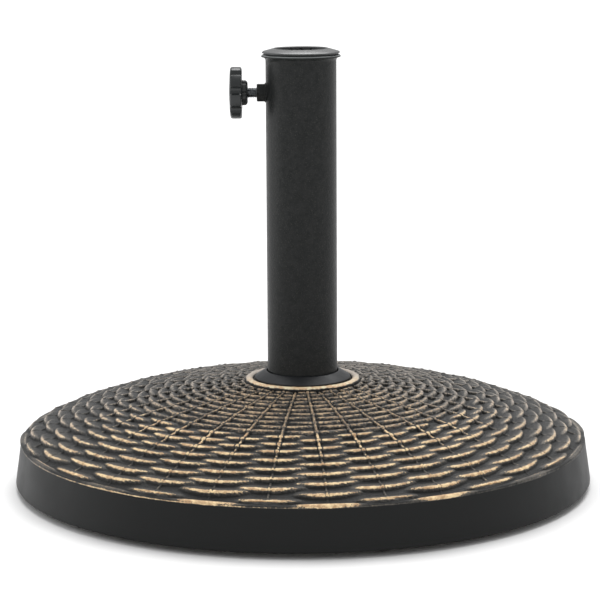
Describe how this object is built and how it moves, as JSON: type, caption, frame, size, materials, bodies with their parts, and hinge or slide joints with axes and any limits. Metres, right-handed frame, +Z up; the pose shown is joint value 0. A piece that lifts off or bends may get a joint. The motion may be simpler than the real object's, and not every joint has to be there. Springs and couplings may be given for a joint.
{
  "type": "parasol base",
  "caption": "Round weighted parasol base with a woven-look domed top, an upright pole tube, a trim collar, a reducer bush and a star-knob clamp screw.",
  "frame": {"origin": "on the ground, under the tube's axis", "axes": "+Z up along the tube, -X towards the clamp knob, -Y towards the viewer"},
  "size_m": [0.45, 0.45, 0.3389],
  "materials": {
    "shell_resin": "satin",
    "cement": "matte",
    "foot_rubber": "matte",
    "socket_plastic": "matte",
    "zinc_steel": "satin",
    "powder_coat": "satin",
    "cup_plastic": "matte",
    "collar_plastic": "satin",
    "reducer_plastic": "satin",
    "black_steel": "satin",
    "pad_nylon": "matte",
    "knob_plastic": "satin"
  },
  "bodies": {
    "base": {"resin_shell": "shell_resin", "ballast_core": "cement", "rubber_feet": "foot_rubber", "tube_socket": "socket_plastic", "anchor_bolt": "zinc_steel", "anchor_washer": "zinc_steel", "lock_washer": "zinc_steel", "pole_tube": "powder_coat", "tube_foot_plate": "powder_coat", "tube_foot_nut": "powder_coat", "pole_cup": "cup_plastic", "clamp_nut": "powder_coat"},
    "collar": {"base_collar": "collar_plastic"},
    "reducer": {"pole_reducer": "reducer_plastic"},
    "pad": {"clamp_pad": "pad_nylon"},
    "knob": {"clamp_screw": "black_steel", "knob_body": "knob_plastic", "knob_cap": "knob_plastic"}
  },
  "joints": [
    {"name": "collar_slide", "type": "slide", "parent": "base", "child": "collar", "axis": [0, 0, 1], "range_m": [0, 0.205]},
    {"name": "reducer_lift", "type": "slide", "parent": "base", "child": "reducer", "axis": [0, 0, 1], "range_m": [0, 0.05]},
    {"name": "clamp_travel", "type": "slide", "parent": "base", "child": "pad", "axis": [1, 0, 0], "range_m": [-0.0051, 0.0064]},
    {"name": "knob_spin", "type": "hinge", "parent": "pad", "child": "knob", "pos_m": [-0.05, 0, 0.3049], "axis": [1, 0, 0], "range_deg": [-1440, 1800]}
  ],
  "couplings": [
    {"joint": "clamp_travel", "follows": "knob_spin", "m_per_rad": 0.00019894}
  ]
}
